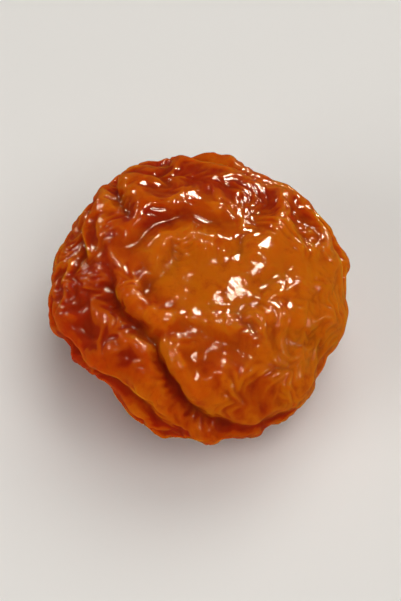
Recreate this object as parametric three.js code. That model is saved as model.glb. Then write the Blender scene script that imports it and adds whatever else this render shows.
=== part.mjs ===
// A dried yellow plum, whole, with its skin on, lying on its broad side.
//
// The fruit grew as one piece, so it is one closed surface, made in steps. A ball of small
// triangles takes the shape of the flattened body. The flesh gets its lumps and deep folds, the
// hollow where the stalk was and the tip at the other end. Then the fruit dries: its skin keeps
// more area than the flesh under it, and buckles, first into broad wrinkles and then into fine
// ones. Last, the underside is flattened where the fruit lies on it.
//
// Millimetres, +Z up. The origin is under the middle of the fruit, on the surface that it lies on.
// The fold under the cap shows from the front (-Y), and the stalk end is at the back.

import * as THREE from "three";
import { mergeVertices } from "three/addons/utils/BufferGeometryUtils.js";
import { ImprovedNoise } from "three/addons/math/ImprovedNoise.js";

// Driving dimensions: the finished fruit fits this box.
const WIDTH = 39.8; // X
const LENGTH = 41.4; // Y
const HEIGHT = 25.6; // Z

const BODY = { halfWidth: 19.8, halfLength: 20.6, halfThickness: 13.4 };
const MIDDLE_HEIGHT = 12.5; // from the surface that the fruit lies on to the body's middle
const MESH_DETAIL = 23; // the ball has 20 * (detail + 1)^2 triangles

// The outline as it is seen from the front and above, at this elevation: how far it reaches from
// the body's middle, every 20 degrees from +X round by the top, as quarters of the turn.
const TOP_RIGHT = [20.5, 21.4, 21.1, 19.9, 20.3];
const TOP_LEFT = [20.9, 21.4, 20.5, 20.2];
const BOTTOM_LEFT = [19.9, 17.8, 15.6, 16.1, 16.3];
const BOTTOM_RIGHT = [16.9, 18.2, 19, 18.2];
const OUTLINE = { elevation: 55, reach: [...TOP_RIGHT, ...TOP_LEFT, ...BOTTOM_LEFT, ...BOTTOM_RIGHT] };

// Directions from the body's middle are [azimuth, elevation] in degrees: azimuth 0 is +X, 90 is +Y.
const STALK_END = [112, 4];
const TIP = { place: [-86, -28], height: 1.3, width: 0.9 };
const HOLLOW = { radius: 2.3, depth: 2, rimHeight: 0.4, rimRadius: 4, rimWidth: 1.5 };
const PLEATS = { count: 7, height: 0.35, unevenness: 2.5, spacing: 4 }; // they run into the hollow

// Sides that dried flat: a soft plane, at this distance from the middle.
const FLAT_SIDES = [
  { towards: [-70, 76], distance: 12.4 },
  { towards: [95, -25], distance: 17 },
];
const FLAT_SOFTNESS = 1.4;
const LEAST_FACING = 0.2; // a side flattens directions at less than about 78 degrees from its own

// Folds: the skin is drawn in along a path, with a raised roll on each side of it, and the left
// roll leans over the groove by the overhang.
const CAP_EDGE = [[-178, 46], [-162, 42], [-146, 40], [-130, 39], [-117, 36]];
const FOLDS = [
  {
    name: "under the cap",
    path: [...CAP_EDGE, [-109, 30], [-92, 12], [-74, 0], [-58, -5]],
    depth: 1.15,
    width: 1.3,
    leftRoll: 0.65,
    rightRoll: 0.2,
    overhang: 0.15,
  },
  {
    name: "from the cap to the stalk end",
    path: [[150, 52], [140, 42], [131, 30], [124, 20], [117, 12]],
    depth: 0.8,
    width: 1.3,
    leftRoll: 0.3,
    rightRoll: 0.3,
    overhang: 0,
  },
  {
    name: "front left band",
    path: [[-176, 12], [-160, 9], [-144, 10], [-128, 11], [-114, 9], [-103, 2]],
    depth: 0.7,
    width: 1.2,
    leftRoll: 0.4,
    rightRoll: 0.2,
    overhang: 0.15,
  },
  {
    name: "across the front",
    path: [[-121, 38], [-110, 41], [-95, 44], [-77, 41], [-61, 33]],
    depth: 0.05,
    width: 1,
    leftRoll: 0.32,
    rightRoll: 0,
    overhang: 0,
  },
  {
    name: "behind the cap",
    path: [[178, 48], [164, 57], [135, 63], [100, 66], [62, 66], [40, 58]],
    depth: 0.7,
    width: 1.5,
    leftRoll: 0.1,
    rightRoll: 0.6,
    overhang: 0,
  },
  {
    name: "right of the cap",
    path: [[-33, 52], [-12, 46], [0, 37], [6, 27], [4, 15]],
    depth: 0.2,
    width: 1.2,
    leftRoll: 0,
    rightRoll: 0.15,
    overhang: 0,
  },
  {
    name: "back right",
    path: [[100, 16], [84, 24], [66, 26], [50, 20], [38, 10]],
    depth: 1.2,
    width: 1.3,
    leftRoll: 0.7,
    rightRoll: 0.3,
    overhang: 0.25,
  },
  {
    name: "back left",
    path: [[124, -4], [140, -12], [158, -14], [176, -12]],
    depth: 1,
    width: 1.2,
    leftRoll: 0.4,
    rightRoll: 0.5,
    overhang: 0,
  },
  {
    name: "low at the back",
    path: [[104, -8], [88, -20], [68, -26], [46, -22]],
    depth: 0.9,
    width: 1.2,
    leftRoll: 0.4,
    rightRoll: 0.4,
    overhang: 0,
  },
];
const PATH_STEPS = 60;

// How every fold is made, in fold widths: where its rolls are highest and how wide they are, and
// where the left roll leans over. It comes in over one part in FOLD_TAPER of its path at each end.
const FOLD_SHAPE = { rollAt: 2.2, rollWidth: 1.4, leanAt: 1.5, leanWidth: 1.2, leanReach: 4 };
const FOLD_TAPER = 5;
const FOLD_END = 1.5; // how far past its path a fold still shows

// The triangles are smaller near the folds and round the stalk end, by these shares.
const CROWDING = { atFolds: 0.4, foldWidths: 2.6, atStalkEnd: 0.42, stalkEndSpread: 0.5 };

// Soft lumps of the flesh, largest first.
const LUMPS = [
  { spacing: 9.5, height: 0.4, seed: 11 },
  { spacing: 5.2, height: 0.2, seed: 23 },
];

// The skin buckles twice. The spare skin is a share of its length. Bending and holding are shares
// of the stretch force: a stiffer skin or a softer hold makes broader wrinkles. The nudge is a
// small unevenness, in millimetres, so that the wrinkles have somewhere to begin.
const BUCKLING = [
  { spareSkin: 0.08, bending: 0.22, holdOut: 0.03, holdAlong: 0.02, nudge: 0.12, nudgeSpacing: 2.6 },
  { spareSkin: 0.155, bending: 0.04, holdOut: 0.13, holdAlong: 0.06, nudge: 0.15, nudgeSpacing: 1.1 },
];
const STEPS = 200;
const GRAIN_SHARE = 0.5; // how much of the spare skin is missing along the grain, stalk end to tip
const STEP = 0.12;
const MOMENTUM = 0.9;

// In a fold the spare skin is used up, the more so the closer together the vertices lie there.
const CROWDED_POWER = 2.5;

// The spare skin varies from place to place. Some places stay smooth, and some wrinkle more.
const PATCHES = { spacing: 8, least: 0.65, most: 1.12, strength: 1.2, seed: 5 };
const PLACES = [
  { place: [-72, 14], radius: 7, share: 0.1 },
  { place: [-62, 14], radius: 5, share: 0.2 },
  { place: [-85, 64], radius: 5, share: 0.6 },
  { place: [-8, 52], radius: 6, share: 0.4 },
  { place: [-10, 22], radius: 7, share: 0.1 },
  { place: [-34, 2], radius: 7, share: 0.2 },
  { place: [85, 42], radius: 5, share: 0.4 },
  { place: [-139, -22], radius: 6, share: 0.1 },
  { place: [0, -90], radius: 7, share: 0.1 },
  { place: STALK_END, radius: 5, share: 0.1 },
  { place: [58, 42], radius: 5, share: 0.5 },
];

// The skin is evened out a little everywhere, and most where a crease is sharper than this, as the
// cosine between the normals on it.
const SOFTENING = { sharpest: 0.5, least: 0.03, most: 0.5, rounds: 12 };

const RING = 6; // a vertex's neighbours

const noise = new ImprovedNoise();

function noiseAt(point, spacing, seed) {
  const [x, y, z] = point.toArray().map((c) => c / spacing + seed);
  return noise.noise(x, y, z);
}

function direction([azimuth, elevation]) {
  const a = THREE.MathUtils.degToRad(azimuth);
  const e = THREE.MathUtils.degToRad(elevation);
  return new THREE.Vector3(Math.cos(a) * Math.cos(e), Math.sin(a) * Math.cos(e), Math.sin(e));
}

// 1 at distance 0, falling to nothing over a few widths.
function bump(distance, width) {
  return Math.exp(-((distance / width) ** 2));
}

// The smaller of two lengths, with the corner between them rounded off.
function softMin(a, b, softness) {
  const h = THREE.MathUtils.clamp(0.5 + (b - a) / (4 * softness), 0, 1);
  return b + (a - b) * h - 2 * softness * h * (1 - h);
}

// How much wider the outline is than the plain ellipsoid's, at an angle round the line of sight.
function outlineShare(angle) {
  const tilt = THREE.MathUtils.degToRad(OUTLINE.elevation);
  const halfHeight = Math.hypot(BODY.halfLength * Math.sin(tilt), BODY.halfThickness * Math.cos(tilt));
  const plain = 1 / Math.hypot(Math.cos(angle) / BODY.halfWidth, Math.sin(angle) / halfHeight);
  const count = OUTLINE.reach.length;
  const turn = ((angle / (2 * Math.PI)) * count + count) % count;
  const first = Math.floor(turn);
  const between = (1 - Math.cos(Math.PI * (turn - first))) / 2;
  const reach = THREE.MathUtils.lerp(OUTLINE.reach[first], OUTLINE.reach[(first + 1) % count], between);
  return reach / plain;
}

function bodyPoint(towards) {
  const { halfWidth, halfLength, halfThickness } = BODY;
  const { x, y, z } = towards;
  const tilt = THREE.MathUtils.degToRad(OUTLINE.elevation);
  const up = y * Math.sin(tilt) + z * Math.cos(tilt);
  const rim = x * x + up * up;
  const share = 1 + (outlineShare(Math.atan2(up, x)) - 1) * rim;
  let radius = share / Math.hypot(x / halfWidth, y / halfLength, z / halfThickness);
  for (const side of FLAT_SIDES) {
    const facing = towards.dot(direction(side.towards));
    if (facing > LEAST_FACING) radius = softMin(radius, side.distance / facing, FLAT_SOFTNESS);
  }
  return towards.clone().multiplyScalar(radius);
}

// A fold's path as points on the body, close together.
function pathOf(fold) {
  const curve = new THREE.CatmullRomCurve3(fold.path.map((place) => direction(place)));
  return curve.getPoints(PATH_STEPS).map((point) => bodyPoint(point.normalize()));
}

// Where a point lies beside a fold: how far off, on which side, and how strong the fold is there.
function besideFold(point, outwards, fold) {
  const { points } = fold;
  const last = points.length - 1;
  let nearest = 0;
  for (let i = 1; i <= last; i++) {
    if (point.distanceToSquared(points[i]) < point.distanceToSquared(points[nearest])) nearest = i;
  }
  const before = points[Math.max(nearest - 1, 0)];
  const after = points[Math.min(nearest + 1, last)];
  const along = after.clone().sub(before).normalize();
  const left = new THREE.Vector3().crossVectors(outwards, along).normalize();
  const offset = point.clone().sub(points[nearest]);
  const share = nearest / last;
  const strength = Math.min(1, FOLD_TAPER * share, FOLD_TAPER * (1 - share));
  const ending = bump(offset.dot(along), FOLD_END);
  return { reach: offset.length(), side: offset.dot(left), left, strength: strength * ending };
}

// The ball's directions, drawn together round the stalk end and then towards each fold.
function crowded(towards, stalkEnd, folds) {
  const angle = towards.angleTo(stalkEnd);
  const turn = -angle * CROWDING.atStalkEnd * bump(angle, CROWDING.stalkEndSpread);
  const axis = new THREE.Vector3().crossVectors(stalkEnd, towards);
  if (axis.length() > 0) towards.applyAxisAngle(axis.normalize(), turn);
  for (const fold of folds) {
    const { reach, side, left, strength } = besideFold(bodyPoint(towards), towards, fold);
    const pull = CROWDING.atFolds * strength * side * bump(reach, CROWDING.foldWidths * fold.width);
    towards = bodyPoint(towards).addScaledVector(left, -pull).normalize();
  }
  return towards;
}

// How a fold moves the skin at a point: out along the normal, and sideways over the groove.
function foldAt(point, normal, fold) {
  const { reach, side, left, strength } = besideFold(point, normal, fold);
  const { width, depth, overhang } = fold;
  const { rollAt, rollWidth, leanAt, leanWidth, leanReach } = FOLD_SHAPE;
  const roll = side > 0 ? fold.leftRoll : fold.rightRoll;
  const rise = roll * bump(reach - rollAt * width, rollWidth * width) - depth * bump(reach, width);
  const lean = -overhang * bump(side - leanAt * width, leanWidth * width) * bump(reach, leanReach * width);
  return left.multiplyScalar(strength * lean).addScaledVector(normal, strength * rise);
}

function hollowAt(point, centre) {
  const offset = point.clone().sub(centre);
  const across = new THREE.Vector3(-centre.y, centre.x, 0).normalize();
  const angle = Math.atan2(offset.z, offset.dot(across));
  const turn = PLEATS.count * angle + PLEATS.unevenness * noiseAt(point, PLEATS.spacing, 0);
  const rim = HOLLOW.rimHeight + PLEATS.height * Math.cos(turn);
  const reach = offset.length();
  return rim * bump(reach - HOLLOW.rimRadius, HOLLOW.rimWidth) - HOLLOW.depth * bump(reach, HOLLOW.radius);
}

// The body with its lumps, folds, hollow and tip: the flesh that the skin lies on.
function flesh() {
  const ball = new THREE.IcosahedronGeometry(1, MESH_DETAIL);
  ball.deleteAttribute("normal");
  ball.deleteAttribute("uv");
  const geometry = mergeVertices(ball, 1e-5);
  const place = geometry.getAttribute("position");
  const folds = FOLDS.map((fold) => ({ ...fold, points: pathOf(fold) }));
  const stalkEnd = direction(STALK_END);
  for (let i = 0; i < place.count; i++) {
    const towards = new THREE.Vector3().fromBufferAttribute(place, i).normalize();
    place.setXYZ(i, ...bodyPoint(crowded(towards, stalkEnd, folds)));
  }
  geometry.computeVertexNormals();
  const normals = geometry.getAttribute("normal");
  const hollowCentre = bodyPoint(stalkEnd);
  const tipCentre = bodyPoint(direction(TIP.place));
  for (let i = 0; i < place.count; i++) {
    const point = new THREE.Vector3().fromBufferAttribute(place, i);
    const normal = new THREE.Vector3().fromBufferAttribute(normals, i);
    let rise = hollowAt(point, hollowCentre) + TIP.height * bump(point.distanceTo(tipCentre), TIP.width);
    for (const { spacing, height, seed } of LUMPS) rise += 2 * height * noiseAt(point, spacing, seed);
    const moved = point.clone().addScaledVector(normal, rise);
    for (const fold of folds) moved.add(foldAt(point, normal, fold));
    place.setXYZ(i, ...moved);
  }
  return geometry;
}

// Each vertex's neighbours, six to a vertex. The ball's twelve corners have five, and themselves.
function neighboursOf(geometry) {
  const sets = Array.from({ length: geometry.getAttribute("position").count }, () => new Set());
  const { array } = geometry.index;
  for (let i = 0; i < array.length; i += 3) {
    const [a, b, c] = array.slice(i, i + 3);
    sets[a].add(b).add(c);
    sets[b].add(c).add(a);
    sets[c].add(a).add(b);
  }
  return sets.map((set, i) => [...set, i].slice(0, RING));
}

// How much spare skin there is at a point, as a share of the most that it may be.
function spareSkinAt(point, places) {
  const { spacing, least, most, strength, seed } = PATCHES;
  const patches = THREE.MathUtils.clamp(1 + strength * noiseAt(point, spacing, seed), least, most);
  return places.reduce((product, { centre, radius, share }) => {
    return product * THREE.MathUtils.lerp(1, share, bump(point.distanceTo(centre), radius));
  }, patches);
}

// Lets the skin buckle over the flesh, by small steps along the forces on each vertex.
function buckle(geometry, neighbours, { spareSkin, bending, holdOut, holdAlong, nudge, nudgeSpacing }) {
  geometry.computeVertexNormals();
  const place = geometry.getAttribute("position");
  const normals = geometry.getAttribute("normal");
  const grain = direction(STALK_END);
  const places = PLACES.map((one) => ({ ...one, centre: bodyPoint(direction(one.place)) }));
  const home = neighbours.map((ring, i) => new THREE.Vector3().fromBufferAttribute(place, i));
  const normal = neighbours.map((ring, i) => new THREE.Vector3().fromBufferAttribute(normals, i));
  const sizes = neighbours.map((ring, i) => ring.reduce((sum, j) => sum + home[j].distanceTo(home[i]), 0));
  const usualSize = sizes.reduce((sum, size) => sum + size, 0) / sizes.length;
  const restLengths = neighbours.map((ring, i) => {
    const along = grain.clone().projectOnPlane(normal[i]).normalize();
    const crowding = Math.min(1, sizes[i] / usualSize) ** CROWDED_POWER;
    const spare = spareSkin * spareSkinAt(home[i], places) * crowding;
    return ring.map((j) => {
      const edge = home[j].clone().sub(home[i]);
      const withGrain = edge.clone().normalize().dot(along);
      return edge.length() * (1 + spare * (1 - GRAIN_SHARE * withGrain ** 2));
    });
  });
  const shift = home.map((p, i) => normal[i].clone().multiplyScalar(nudge * noiseAt(p, nudgeSpacing, 0)));
  const speed = home.map(() => new THREE.Vector3());
  const bend = home.map(() => new THREE.Vector3());
  const mean = new THREE.Vector3();
  const edge = new THREE.Vector3();
  const force = new THREE.Vector3();
  const meanOf = (values, ring) => {
    mean.set(0, 0, 0);
    for (const j of ring) mean.add(values[j]);
    return mean.divideScalar(ring.length);
  };
  for (let step = 0; step < STEPS; step++) {
    neighbours.forEach((ring, i) => bend[i].copy(meanOf(shift, ring)).sub(shift[i]));
    neighbours.forEach((ring, i) => {
      force.copy(bend[i]).sub(meanOf(bend, ring)).multiplyScalar(RING * bending);
      for (let k = 0; k < ring.length; k++) {
        edge.copy(home[ring[k]]).add(shift[ring[k]]).sub(home[i]).sub(shift[i]);
        const length = edge.length();
        if (length > 0) force.addScaledVector(edge, 1 - restLengths[i][k] / length);
      }
      force.addScaledVector(shift[i], -holdAlong);
      force.addScaledVector(normal[i], (holdAlong - holdOut) * shift[i].dot(normal[i]));
      speed[i].multiplyScalar(MOMENTUM).addScaledVector(force, STEP);
    });
    shift.forEach((moved, i) => moved.add(speed[i]));
  }
  shift.forEach((moved, i) => place.setXYZ(i, ...moved.add(home[i])));
}

// Evens out the skin, mostly in its sharpest creases, so that it doesn't cut through itself.
function soften(geometry, neighbours) {
  const place = geometry.getAttribute("position");
  for (let round = 0; round < SOFTENING.rounds; round++) {
    geometry.computeVertexNormals();
    const normals = geometry.getAttribute("normal");
    const at = neighbours.map((ring, i) => new THREE.Vector3().fromBufferAttribute(place, i));
    const normal = neighbours.map((ring, i) => new THREE.Vector3().fromBufferAttribute(normals, i));
    neighbours.forEach((ring, i) => {
      const sharpness = Math.min(...ring.map((j) => normal[i].dot(normal[j])));
      const share = THREE.MathUtils.clamp(SOFTENING.sharpest - sharpness, SOFTENING.least, SOFTENING.most);
      const middle = new THREE.Vector3();
      for (const j of ring) middle.addScaledVector(at[j], 1 / ring.length);
      place.setXYZ(i, ...middle.lerp(at[i], 1 - share));
    });
  }
}

// The finished surface, flattened underneath, then moved and scaled to the driving dimensions.
function fruit() {
  const skin = flesh();
  const neighbours = neighboursOf(skin);
  for (const pass of BUCKLING) buckle(skin, neighbours, pass);
  soften(skin, neighbours);
  const place = skin.getAttribute("position");
  for (let i = 0; i < place.count; i++) place.setZ(i, Math.max(place.getZ(i), -MIDDLE_HEIGHT));
  skin.deleteAttribute("normal");
  skin.computeBoundingBox();
  const size = skin.boundingBox.getSize(new THREE.Vector3());
  const middle = skin.boundingBox.getCenter(new THREE.Vector3());
  skin.translate(-middle.x, -middle.y, -skin.boundingBox.min.z);
  skin.scale(WIDTH / size.x, LENGTH / size.y, HEIGHT / size.z);
  return skin;
}

const amberSkin = new THREE.MeshStandardMaterial({ color: 0xc4610f, roughness: 0.25, metalness: 0 });
const plum = new THREE.Mesh(fruit(), amberSkin);
plum.name = "dried_plum";

const part = new THREE.Group();
part.add(plum);

export default part;
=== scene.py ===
"""The looks of the dried plum: its finely wrinkled skin with amber flesh under it, and a small studio.

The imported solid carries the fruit's body, its folds and its broad wrinkles. Here its surface is divided
twice more, and after each division the skin dries a little further over the flesh: it keeps more area than
the flesh under it, and buckles into fine wrinkles, most of them 1 to 3 mm apart. Lengths are in millimetres
until the skin becomes a Blender mesh, which is in metres. A place on the fruit is given by the direction
to it from the fruit's middle, as azimuth and elevation in degrees.
"""

import math

import bpy
import numpy as np
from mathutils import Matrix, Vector, noise
from mathutils.bvhtree import BVHTree


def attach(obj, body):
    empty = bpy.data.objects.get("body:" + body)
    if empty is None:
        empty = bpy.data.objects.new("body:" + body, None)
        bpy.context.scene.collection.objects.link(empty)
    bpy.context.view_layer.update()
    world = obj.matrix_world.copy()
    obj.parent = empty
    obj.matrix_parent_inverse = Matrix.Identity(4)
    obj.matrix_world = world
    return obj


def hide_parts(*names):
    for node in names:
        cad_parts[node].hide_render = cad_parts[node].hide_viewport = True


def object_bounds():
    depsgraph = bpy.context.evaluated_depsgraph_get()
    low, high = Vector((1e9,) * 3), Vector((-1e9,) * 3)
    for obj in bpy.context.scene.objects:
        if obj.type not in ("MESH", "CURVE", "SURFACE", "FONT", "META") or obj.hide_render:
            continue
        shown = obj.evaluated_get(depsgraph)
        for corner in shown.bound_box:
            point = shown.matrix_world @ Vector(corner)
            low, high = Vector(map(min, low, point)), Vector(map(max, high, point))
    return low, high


MM = 0.001
NODE = "dried_plum"
TINY = 1e-9  # keeps a division by a length safe
RING = 6  # the neighbours of a vertex
SEED_SHIFTS = (7.3, 3.1, 5.7)  # the noise moves this far for each number of its seed

# The fruit's middle, and the direction of the stalk end. The wrinkles run along it, turned to either side
# from place to place, because the skin has less to spare along them than across them.
MIDDLE = np.array([0, 0, 12.5])
GRAIN = [112, 4]
GRAIN_SHARE = 0.6  # how much less
TURNS = {"spacing": 8, "strength": 5, "seed": 4}

# The skin dries once after each division. The spare skin is a share of its length. Bending and holding are
# shares of the stretch force: a stiffer skin or a softer hold makes broader wrinkles.
DRYINGS = [
    {"spare_skin": 0.088, "bending": 0.09, "hold_out": 0.07, "hold_along": 0.03, "steps": 260, "seed": 3},
    {"spare_skin": 0.1, "bending": 0.05, "hold_out": 0.08, "hold_along": 0.03, "steps": 160, "seed": 8},
]
LUMPS = [{"spacing": 2.4, "height": 0.16}, {"spacing": 1.3, "height": 0.07}]

# The skin starts with random nudges, as a share of a usual edge. Then each step moves a vertex by a share
# of the force on it, and by most of its last move.
NUDGE = 0.05
STEP = 0.12
MOMENTUM = 0.9

# Where the skin cuts through itself, each round evens it out by a share, with rings of vertices round it.
UNTANGLE_ROUNDS = 12
UNTANGLE_RINGS = 3
UNTANGLE_SHARE = 0.6

# The spare skin varies by noise, between the least and the most share.
PATCHES = {"spacing": 6, "strength": 1, "least": 0.92, "most": 1.2}

# Where the skin is smoother or rougher than elsewhere: the place, the radius, and the share that the spare
# skin and the lumps have there.
PLACES = [
    ([4, 55], 2, 0.5),
    ([0, 45], 3, 0.7),
    ([-32, 56], 3, 0.55),
    ([-165, 30], 7, 1.12),
    ([140, 36], 5, 1.1),
    ([-80, 30], 4, 0.7),
    ([-62, 12], 5, 0.8),
    ([164, 56], 3, 0.3),
    ([-95, 61], 4, 0.88),
    ([-60, 46], 3, 0.85),
    ([52, 56], 3.5, 0.7),
]

# Where the fruit is more golden, and where it is redder: the place, the radius and the amount.
GOLDEN = [
    ([-130, 72], 8, 1),
    ([-110, 70], 5, 0.6),
    ([0, 46], 4, 0.4),
    ([134, 36], 4, 0.1),
    ([-15, 45], 10, 1),
    ([-42, 14], 9, 0.8),
    ([-5, 12], 9, 0.7),
    ([-114, 6], 4, 0.35),
    ([60, -25], 10, 0.7),
    ([150, -50], 9, 1),
    ([-148, 10], 7, -0.6),
    ([134, 58], 4, -0.4),
    ([92, 40], 4, 0.3),
    ([60, 45], 6, -0.25),
    ([-153, 52], 4, -0.25),
]

# Where the skin is wetter, and shines more, and where it is drier.
WET = [
    ([4, 55], 3, 1),
    ([-32, 56], 3.5, 1),
    ([164, 58], 3, 1),
    ([-53, 38], 2.5, 1),
    ([68, 30], 2.5, 1),
    ([-95, 61], 4.5, -0.3),
    ([-88, 33], 4, -0.3),
]
AMOUNTS = (-1, 1.5)  # the least and the most that such amounts add up to

# The creases and ridges, for the painted shade in the creases and the painted glow on the ridges, are found
# against an evened-out skin: the rounds of evening, and what counts as full depth.
FINE_CREASES = {"rounds": 8, "full_depth": 0.05}
BROAD_CREASES = {"rounds": 90, "full_depth": 0.45}

LIFT = 0.05  # the skin stays this far inside the solid's box

GOLD = (0.58, 0.130, 0.003, 1)
AMBER = (0.47, 0.063, 0.002, 1)
RUST = (0.34, 0.022, 0.003, 1)
# Painted shade: the dark red that is laid into the creases and folds.
PAINTED_SHADE_RED = (0.20, 0.008, 0.002, 1)

# The noise patterns of the skin: cells to a metre, octaves, roughness and distortion.
PATTERNS = {
    "patches": (190, 4, 0.6, 0.5),
    "mottles": (480, 3, 0.6, 0),
    "grain": (1500, 3, 0.6, 0),
    "pores": (5200, 2, 0.5, 0),
    "dullness": (260, 3, 0.6, 0),
    "wetness": (200, 3, 0.6, 0),
}

# How golden the skin is where it turns from rust to amber, and then to gold. Its patches add to that, or
# take from it.
TO_AMBER = (-0.1, 0.5)
TO_GOLD = (0.5, 1.3)
PATCH_SPREAD = 2.2
PATCH_MIDDLE = 1.15

# What changes the colour: from nothing at the first value to the most at the second. The ridges get a
# painted glow, the creases and folds get painted shade, and the mottles are the flesh's own tone.
PAINTED_RIDGE_GLOW = {"from": 0.1, "to": -0.9, "most": 0.8}
MOTTLES = {"from": 0.5, "to": 0.75, "most": 0.5}
PAINTED_CREASE_SHADE = {"from": 0.1, "to": 1.0, "most": 0.15}
PAINTED_FOLD_SHADE = {"from": 0.2, "to": 1.0, "most": 0.25}

# The roughness and the weight of the wet coat, each as a range of values and what they give.
ROUGHNESS = (0.3, 0.7, 0.28, 0.5)
COAT = (0.25, 1.0, 0.35, 1)
GRAIN_BUMP = {"Strength": 0.2, "Distance": 0.0002}
PORE_BUMP = {"Strength": 0.1, "Distance": 0.00005}

# The coat gives all the gloss. Red light goes furthest through the flesh.
SKIN_SHADER = {
    "IOR": 1.45,
    "Specular IOR Level": 0,
    "Subsurface Weight": 1,
    "Subsurface Radius": (8.0, 2.4, 0.6),
    "Subsurface Scale": MM,
    "Coat IOR": 1.34,
    "Coat Roughness": 0.05,
}
MIX_INPUTS = (0, 6, 7)  # a mix node's sockets for the share and the two colours
MIX_OUTPUT = 2
FLOOR_SHADER = {"Base Color": (0.88, 0.85, 0.80, 1), "Roughness": 0.7, "Specular IOR Level": 0}
FLOOR_SIZE = 3

# Each lamp's place round the fruit, its distance and size in metres, and its watts. The soft lamps light
# the fruit and the floor. The bright ones show only in the gloss, where the skin mirrors them.
SOFT_LAMPS = {
    "soft_back": ([60, 60], 1.0, 0.9, 4.1),
    "soft_front": ([-52, 60], 1.2, 1.0, 6.9),
    "soft_left": ([-150, 30], 1.2, 0.8, 4.1),
}
BRIGHT_LAMPS = {
    "bright_back": ([60, 46], 1.0, 0.27, 22),
    "bright_top": ([0, 76], 1.0, 0.17, 6),
    "bright_left": ([161, 34], 1.0, 0.12, 3),
    "bright_front": ([-141, 56], 1.0, 0.12, 1.5),
    "low_back": ([54, 8], 1.0, 0.2, 4),
    "low_right": ([-12, 8], 1.0, 0.14, 1.6),
    "low_left": ([127, 9], 1.0, 0.2, 3),
}
WHITE = (1, 1, 1)
WARM = (1, 0.87, 0.66)
ROOM = {"Color": (1, 0.98, 0.95, 1), "Strength": 0.05}

# The camera looks down at the fruit from the front, at the photograph's angle. The fruit fills about three
# quarters of the width of the picture, which is 401 pixels wide and 601 high.
CAMERA = {"place": [-90, 55], "distance": 345 * MM, "lens": 158, "clip_start": 10 * MM}


def direction(place):
    azimuth, elevation = np.radians(place)
    level = math.cos(elevation)
    return np.array([math.cos(azimuth) * level, math.sin(azimuth) * level, math.sin(elevation)])


def lengths(vectors):
    return np.linalg.norm(vectors, axis=-1, keepdims=True)


def solid_mesh(solid):
    """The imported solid's corners in millimetres, each of them once, and its triangles."""
    corners = np.zeros(len(solid.data.vertices) * 3, np.float32)
    solid.data.vertices.foreach_get("co", corners)
    solid.data.calc_loop_triangles()
    triangles = np.zeros(len(solid.data.loop_triangles) * 3, np.int32)
    solid.data.loop_triangles.foreach_get("vertices", triangles)
    places, numbers = np.unique(corners.reshape(-1, 3), axis=0, return_inverse=True)
    return places.astype(float) / MM, numbers.reshape(-1)[triangles].reshape(-1, 3)


def edges_of(triangles):
    """Each edge once, and for each triangle the numbers of its three edges."""
    sides = np.concatenate([triangles[:, [0, 1]], triangles[:, [1, 2]], triangles[:, [2, 0]]])
    edges, numbers = np.unique(np.sort(sides, axis=1), axis=0, return_inverse=True)
    return edges, numbers.reshape(3, -1).T


def add_at(total, numbers, values):
    """Adds each value to the row of the total that its number names."""
    for axis in range(total.shape[1]):
        total[:, axis] += np.bincount(numbers, values[:, axis], len(total))


def divided(places, triangles):
    """One round of Loop subdivision, with its usual weights: four triangles for each, and smoother."""
    edges, sides = edges_of(triangles)
    across = np.zeros((len(edges), 3))
    for side, opposite in ((0, 2), (1, 0), (2, 1)):
        add_at(across, sides[:, side], places[triangles[:, opposite]])
    middles = 0.375 * (places[edges[:, 0]] + places[edges[:, 1]]) + 0.125 * across
    around = np.zeros_like(places)
    add_at(around, edges[:, 0], places[edges[:, 1]])
    add_at(around, edges[:, 1], places[edges[:, 0]])
    count = np.bincount(edges.ravel(), minlength=len(places))
    weight = (0.625 - (0.375 + 0.25 * np.cos(2 * np.pi / count)) ** 2) / count
    evened = (1 - count * weight)[:, None] * places + weight[:, None] * around
    first, second, third = triangles.T
    to_second, to_third, to_first = sides.T + len(places)
    quarters = [
        (first, to_second, to_first),
        (second, to_third, to_second),
        (third, to_first, to_third),
        (to_second, to_third, to_first),
    ]
    return np.concatenate([evened, middles]), np.concatenate([np.stack(quarter, 1) for quarter in quarters])


def neighbours_of(count, triangles):
    """Six neighbours for each vertex. A vertex with five has itself as the sixth."""
    edges, _ = edges_of(triangles)
    pairs = np.concatenate([edges, edges[:, ::-1]])
    pairs = pairs[np.argsort(pairs[:, 0], kind="stable")]
    first = np.searchsorted(pairs[:, 0], np.arange(count))
    slot = np.arange(len(pairs)) - first[pairs[:, 0]]
    rings = np.tile(np.arange(count)[:, None], (1, RING))
    rings[pairs[:, 0], slot] = pairs[:, 1]
    return rings


def normals_of(places, triangles):
    first, second, third = (places[triangles[:, corner]] for corner in range(3))
    facing = np.cross(second - first, third - first)
    normals = np.zeros_like(places)
    for corner in range(3):
        add_at(normals, triangles[:, corner], facing)
    return normals / lengths(normals)


def noise_at(places, spacing, seed):
    shift = Vector([seed * part for part in SEED_SHIFTS])
    return np.array([noise.noise(Vector(place / spacing) + shift) for place in places])


def closeness(places, place, radius):
    """How close each vertex is to a spot on the skin: 1 on it, and nearly 0 at twice the radius."""
    towards = (places - MIDDLE) / lengths(places - MIDDLE)
    spot = places[np.argmax(towards @ direction(place))]
    return np.exp(-((lengths(places - spot)[:, 0] / radius) ** 2))


def shares_by_place(places):
    shares = np.ones(len(places))
    for place, radius, share in PLACES:
        shares *= 1 + (share - 1) * closeness(places, place, radius)
    return shares


def amounts_by_place(places, spots):
    amounts = sum(amount * closeness(places, place, radius) for place, radius, amount in spots)
    return np.clip(amounts, *AMOUNTS)


def spare_skin_shares(places, seed):
    """How much spare skin each vertex has, against the usual amount."""
    patches = 1 + PATCHES["strength"] * noise_at(places, PATCHES["spacing"], seed)
    return np.clip(patches, PATCHES["least"], PATCHES["most"]) * shares_by_place(places)


def lumpy(places, triangles, lumps, seed):
    """The skin with small soft lumps on it, of the flesh under it."""
    heights = lumps["height"] * noise_at(places, lumps["spacing"], seed) * shares_by_place(places)
    return places + heights[:, None] * normals_of(places, triangles)


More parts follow.
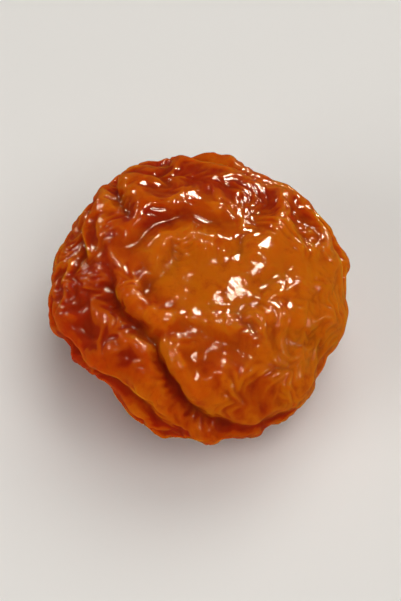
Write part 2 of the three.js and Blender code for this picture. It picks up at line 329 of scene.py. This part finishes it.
def grain_at(places, normals):
    """The way that the wrinkles run at each vertex, along the skin."""
    grain = direction(GRAIN)
    along = grain - (normals @ grain)[:, None] * normals
    along /= np.maximum(lengths(along), TINY)
    turns = TURNS["strength"] * noise_at(places, TURNS["spacing"], TURNS["seed"])[:, None]
    return np.cos(turns) * along + np.sin(turns) * np.cross(normals, along)


def dried(places, triangles, drying):
    """Lets the skin buckle over the flesh, by small steps along the forces on each vertex. Where the
    vertices are crowded, as in a tight crease, the skin has less to spare."""
    home = places.astype(np.float32)
    rings = neighbours_of(len(home), triangles)
    normals = normals_of(home, triangles).astype(np.float32)
    spokes = home[rings] - home[:, None]
    spans = lengths(spokes)[..., 0]
    itself = rings == np.arange(len(home))[:, None]
    along = grain_at(home, normals)
    with_grain = np.einsum("vkc,vc->vk", spokes, along) / np.maximum(spans, TINY)
    usual = np.median(spans[~itself])
    crowding = np.minimum(1, spans.mean(1) / usual) ** 2
    spare = drying["spare_skin"] * crowding * spare_skin_shares(places, drying["seed"])
    rests = (spans * (1 + spare[:, None] * (1 - GRAIN_SHARE * with_grain**2))).astype(np.float32)
    random = np.random.default_rng(drying["seed"])
    nudges = NUDGE * usual * random.standard_normal(len(home))
    shift = (normals * nudges[:, None]).astype(np.float32)
    speed = np.zeros_like(shift)
    for _ in range(drying["steps"]):
        moved = home + shift
        spokes = moved[rings] - moved[:, None]
        pull = np.where(itself, 0, 1 - rests / np.maximum(lengths(spokes)[..., 0], TINY))
        force = np.einsum("vk,vkc->vc", pull, spokes)
        bend = shift[rings].mean(1) - shift
        force += RING * drying["bending"] * (bend - bend[rings].mean(1))
        outwards = np.einsum("vc,vc->v", shift, normals)[:, None] * normals
        force -= drying["hold_out"] * outwards + drying["hold_along"] * (shift - outwards)
        speed = MOMENTUM * speed + STEP * force
        shift = shift + speed
    return (home + shift).astype(float)


def crossing(places, triangles):
    """The numbers of the triangles that cut through another one."""
    tree = BVHTree.FromPolygons(places.tolist(), triangles.tolist())
    pairs = np.array(tree.overlap(tree), int).reshape(-1, 2)
    pairs = pairs[pairs[:, 0] < pairs[:, 1]]
    first, second = triangles[pairs[:, 0]], triangles[pairs[:, 1]]
    touching = (first[:, :, None] == second[:, None, :]).any((1, 2))
    return np.unique(pairs[~touching])


def untangled(places, triangles):
    """Evens out the skin where it cuts through itself in a tight crease, until it doesn't."""
    rings = neighbours_of(len(places), triangles)
    watched = triangles
    for _ in range(UNTANGLE_ROUNDS):
        found = crossing(places, watched)
        if len(found) == 0:
            break
        near = np.zeros(len(places), bool)
        near[watched[found]] = True
        for _ in range(UNTANGLE_RINGS):
            near |= near[rings].any(1)
        evened = places[rings[near]].mean(1)
        places = places.copy()
        places[near] = (1 - UNTANGLE_SHARE) * places[near] + UNTANGLE_SHARE * evened
        watched = triangles[near[triangles].any(1)]
    return places


def crease_depths(places, triangles, rounds, full_depth):
    """How deep each vertex lies under the evened-out skin: 1 in a deep crease, and -1 on a high ridge."""
    rings = neighbours_of(len(places), triangles)
    evened = places
    for _ in range(rounds):
        evened = (evened + evened[rings].mean(1)) / 2
    depths = np.einsum("vc,vc->v", evened - places, normals_of(places, triangles))
    return np.clip(depths / full_depth, -1, 1)


def kept_in_box(places, lowest, highest):
    """The skin scaled, by a hair, to lie inside the solid's box and rest on the same plane."""
    low, high = places.min(0), places.max(0)
    scale = (highest - lowest - 2 * LIFT) / (high - low)
    middle = (lowest + highest) / 2
    inside = (places - (low + high) / 2) * np.minimum(scale, 1) + middle
    inside[:, 2] -= inside[:, 2].min() - lowest[2]
    return inside


def plum_skin(solid):
    places, triangles = solid_mesh(solid)
    lowest, highest = places.min(0), places.max(0)
    for drying, lumps in zip(DRYINGS, LUMPS):
        places, triangles = divided(places, triangles)
        places = lumpy(places, triangles, lumps, drying["seed"])
        places = untangled(dried(places, triangles, drying), triangles)
    places = kept_in_box(places, lowest, highest)
    mesh = bpy.data.meshes.new("plum_skin")
    mesh.from_pydata((places * MM).tolist(), [], triangles.tolist())
    mesh.polygons.foreach_set("use_smooth", np.ones(len(triangles), bool))
    shades = {
        # The crease depths, which the material turns into painted shade in the creases and a painted glow
        # on the ridges.
        "fine_crease_shade": crease_depths(places, triangles, **FINE_CREASES),
        "broad_crease_shade_and_ridge_glow": crease_depths(places, triangles, **BROAD_CREASES),
        "gold": amounts_by_place(places, GOLDEN),
        "wet": amounts_by_place(places, WET),
    }
    for name, values in shades.items():
        attribute = mesh.attributes.new(name, "FLOAT", "POINT")
        attribute.data.foreach_set("value", values.astype(np.float32))
    mesh.update()
    skin = bpy.data.objects.new("plum_skin", mesh)
    bpy.context.scene.collection.objects.link(skin)
    return skin


class Nodes:
    """Adds nodes to a material, and links them."""

    def __init__(self, material):
        self.tree = material.node_tree

    def put(self, socket, value):
        if isinstance(value, bpy.types.NodeSocket):
            self.tree.links.new(value, socket)
        else:
            socket.default_value = value

    def add(self, kind, inputs=None, **settings):
        node = self.tree.nodes.new(kind)
        for name, value in settings.items():
            setattr(node, name, value)
        for name, value in (inputs or {}).items():
            self.put(node.inputs[name], value)
        return node

    def attribute(self, name):
        return self.add("ShaderNodeAttribute", attribute_name=name).outputs["Fac"]

    def noise(self, place, pattern):
        names = ("Scale", "Detail", "Roughness", "Distortion")
        inputs = {"Vector": place, **dict(zip(names, PATTERNS[pattern]))}
        return self.add("ShaderNodeTexNoise", inputs).outputs["Fac"]

    def ranged(self, value, low, high, to_low=0.0, to_high=1.0):
        inputs = {"Value": value, "From Min": low, "From Max": high, "To Min": to_low, "To Max": to_high}
        return self.add("ShaderNodeMapRange", inputs, interpolation_type="SMOOTHSTEP").outputs["Result"]

    def share(self, value, layer):
        """A share that grows from nothing to the layer's most as the value goes over the layer's range."""
        return self.maths("MULTIPLY", self.ranged(value, layer["from"], layer["to"]), layer["most"])

    def mix(self, share, first, second):
        node = self.add("ShaderNodeMix", data_type="RGBA")
        for socket, value in zip(MIX_INPUTS, (share, first, second)):
            self.put(node.inputs[socket], value)
        return node.outputs[MIX_OUTPUT]

    def maths(self, operation, first, second):
        node = self.add("ShaderNodeMath", operation=operation)
        self.put(node.inputs[0], first)
        self.put(node.inputs[1], second)
        return node.outputs[0]


def set_inputs(node, values):
    for name, value in values.items():
        node.inputs[name].default_value = value


def skin_material():
    """Glossy, translucent skin: amber and golden in places, with a painted glow that makes the ridges more
    golden and painted shade that makes the creases darker red.
    """
    material = bpy.data.materials.new("plum_skin")
    material.use_nodes = True
    nodes = Nodes(material)
    shader = material.node_tree.nodes["Principled BSDF"]
    place = nodes.add("ShaderNodeTexCoord").outputs["Object"]
    fine = nodes.attribute("fine_crease_shade")
    broad = nodes.attribute("broad_crease_shade_and_ridge_glow")

    patches = nodes.maths("MULTIPLY", nodes.noise(place, "patches"), PATCH_SPREAD)
    gold = nodes.maths("ADD", nodes.attribute("gold"), nodes.maths("SUBTRACT", patches, PATCH_MIDDLE))
    # Painted glow: the ridges are made more golden, as if lit through the thin skin.
    gold = nodes.maths("ADD", gold, nodes.share(broad, PAINTED_RIDGE_GLOW))
    colour = nodes.mix(nodes.ranged(gold, *TO_AMBER), RUST, AMBER)
    colour = nodes.mix(nodes.ranged(gold, *TO_GOLD), colour, GOLD)
    colour = nodes.mix(nodes.share(nodes.noise(place, "mottles"), MOTTLES), colour, RUST)
    # Painted shade: dark red laid into the fine creases and the broad folds.
    colour = nodes.mix(nodes.share(fine, PAINTED_CREASE_SHADE), colour, PAINTED_SHADE_RED)
    colour = nodes.mix(nodes.share(broad, PAINTED_FOLD_SHADE), colour, PAINTED_SHADE_RED)

    grain = nodes.noise(place, "grain")
    pores = nodes.noise(place, "pores")
    grainy = nodes.add("ShaderNodeBump", {**GRAIN_BUMP, "Height": grain}).outputs["Normal"]
    normal = nodes.add("ShaderNodeBump", {**PORE_BUMP, "Height": pores, "Normal": grainy}).outputs["Normal"]

    roughness = nodes.ranged(nodes.noise(place, "dullness"), *ROUGHNESS)
    wet = nodes.maths("ADD", nodes.attribute("wet"), nodes.noise(place, "wetness"))
    nodes.put(shader.inputs["Base Color"], colour)
    nodes.put(shader.inputs["Roughness"], roughness)
    nodes.put(shader.inputs["Normal"], normal)
    nodes.put(shader.inputs["Coat Normal"], normal)
    nodes.put(shader.inputs["Coat Weight"], nodes.ranged(wet, *COAT))
    set_inputs(shader, SKIN_SHADER)
    return material


def floor():
    """A pale floor. The skin doesn't mirror it, which would lay a grey veil on the fruit's steep sides."""
    material = bpy.data.materials.new("pale_floor")
    material.use_nodes = True
    set_inputs(material.node_tree.nodes["Principled BSDF"], FLOOR_SHADER)
    bpy.ops.mesh.primitive_plane_add(size=FLOOR_SIZE, location=(0, 0, 0))
    plane = bpy.context.object
    plane.name = "floor"
    plane.data.materials.append(material)
    plane.visible_glossy = False


def light(name, facts, bright):
    """A round area light that faces the fruit's middle."""
    place, distance, size, watts = facts
    towards = Vector(direction(place))
    data = bpy.data.lights.new(name, "AREA")
    data.shape = "DISK"
    data.size = size
    data.energy = watts
    data.color = WARM if bright else WHITE
    lamp = bpy.data.objects.new(name, data)
    lamp.location = towards * distance + Vector(MIDDLE) * MM
    lamp.rotation_euler = towards.to_track_quat("Z", "Y").to_euler()
    lamp.visible_glossy = bright
    lamp.visible_diffuse = not bright
    bpy.context.scene.collection.objects.link(lamp)


def studio():
    for name, facts in SOFT_LAMPS.items():
        light(name, facts, bright=False)
    for name, facts in BRIGHT_LAMPS.items():
        light(name, facts, bright=True)
    world = bpy.data.worlds.new("soft_room")
    world.use_nodes = True
    set_inputs(world.node_tree.nodes["Background"], ROOM)
    bpy.context.scene.world = world
    bpy.context.scene.view_settings.view_transform = "Standard"


def camera(target):
    data = bpy.data.cameras.new("camera")
    data.lens = CAMERA["lens"]
    data.clip_start = CAMERA["clip_start"]
    place = bpy.data.objects.new("camera", data)
    back = Vector(direction(CAMERA["place"]))
    place.location = target + back * CAMERA["distance"]
    place.rotation_euler = back.to_track_quat("Z", "Y").to_euler()
    bpy.context.scene.collection.objects.link(place)
    bpy.context.scene.camera = place


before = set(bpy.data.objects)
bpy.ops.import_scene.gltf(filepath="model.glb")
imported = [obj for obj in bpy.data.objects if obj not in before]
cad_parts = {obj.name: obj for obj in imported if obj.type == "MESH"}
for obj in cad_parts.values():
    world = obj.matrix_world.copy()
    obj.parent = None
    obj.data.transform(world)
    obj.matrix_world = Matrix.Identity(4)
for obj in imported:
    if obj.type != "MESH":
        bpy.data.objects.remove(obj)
cad_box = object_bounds()

skin = plum_skin(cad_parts[NODE])
skin.data.materials.append(skin_material())
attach(skin, "root")
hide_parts(NODE)

floor()
studio()
camera((cad_box[0] + cad_box[1]) / 2)
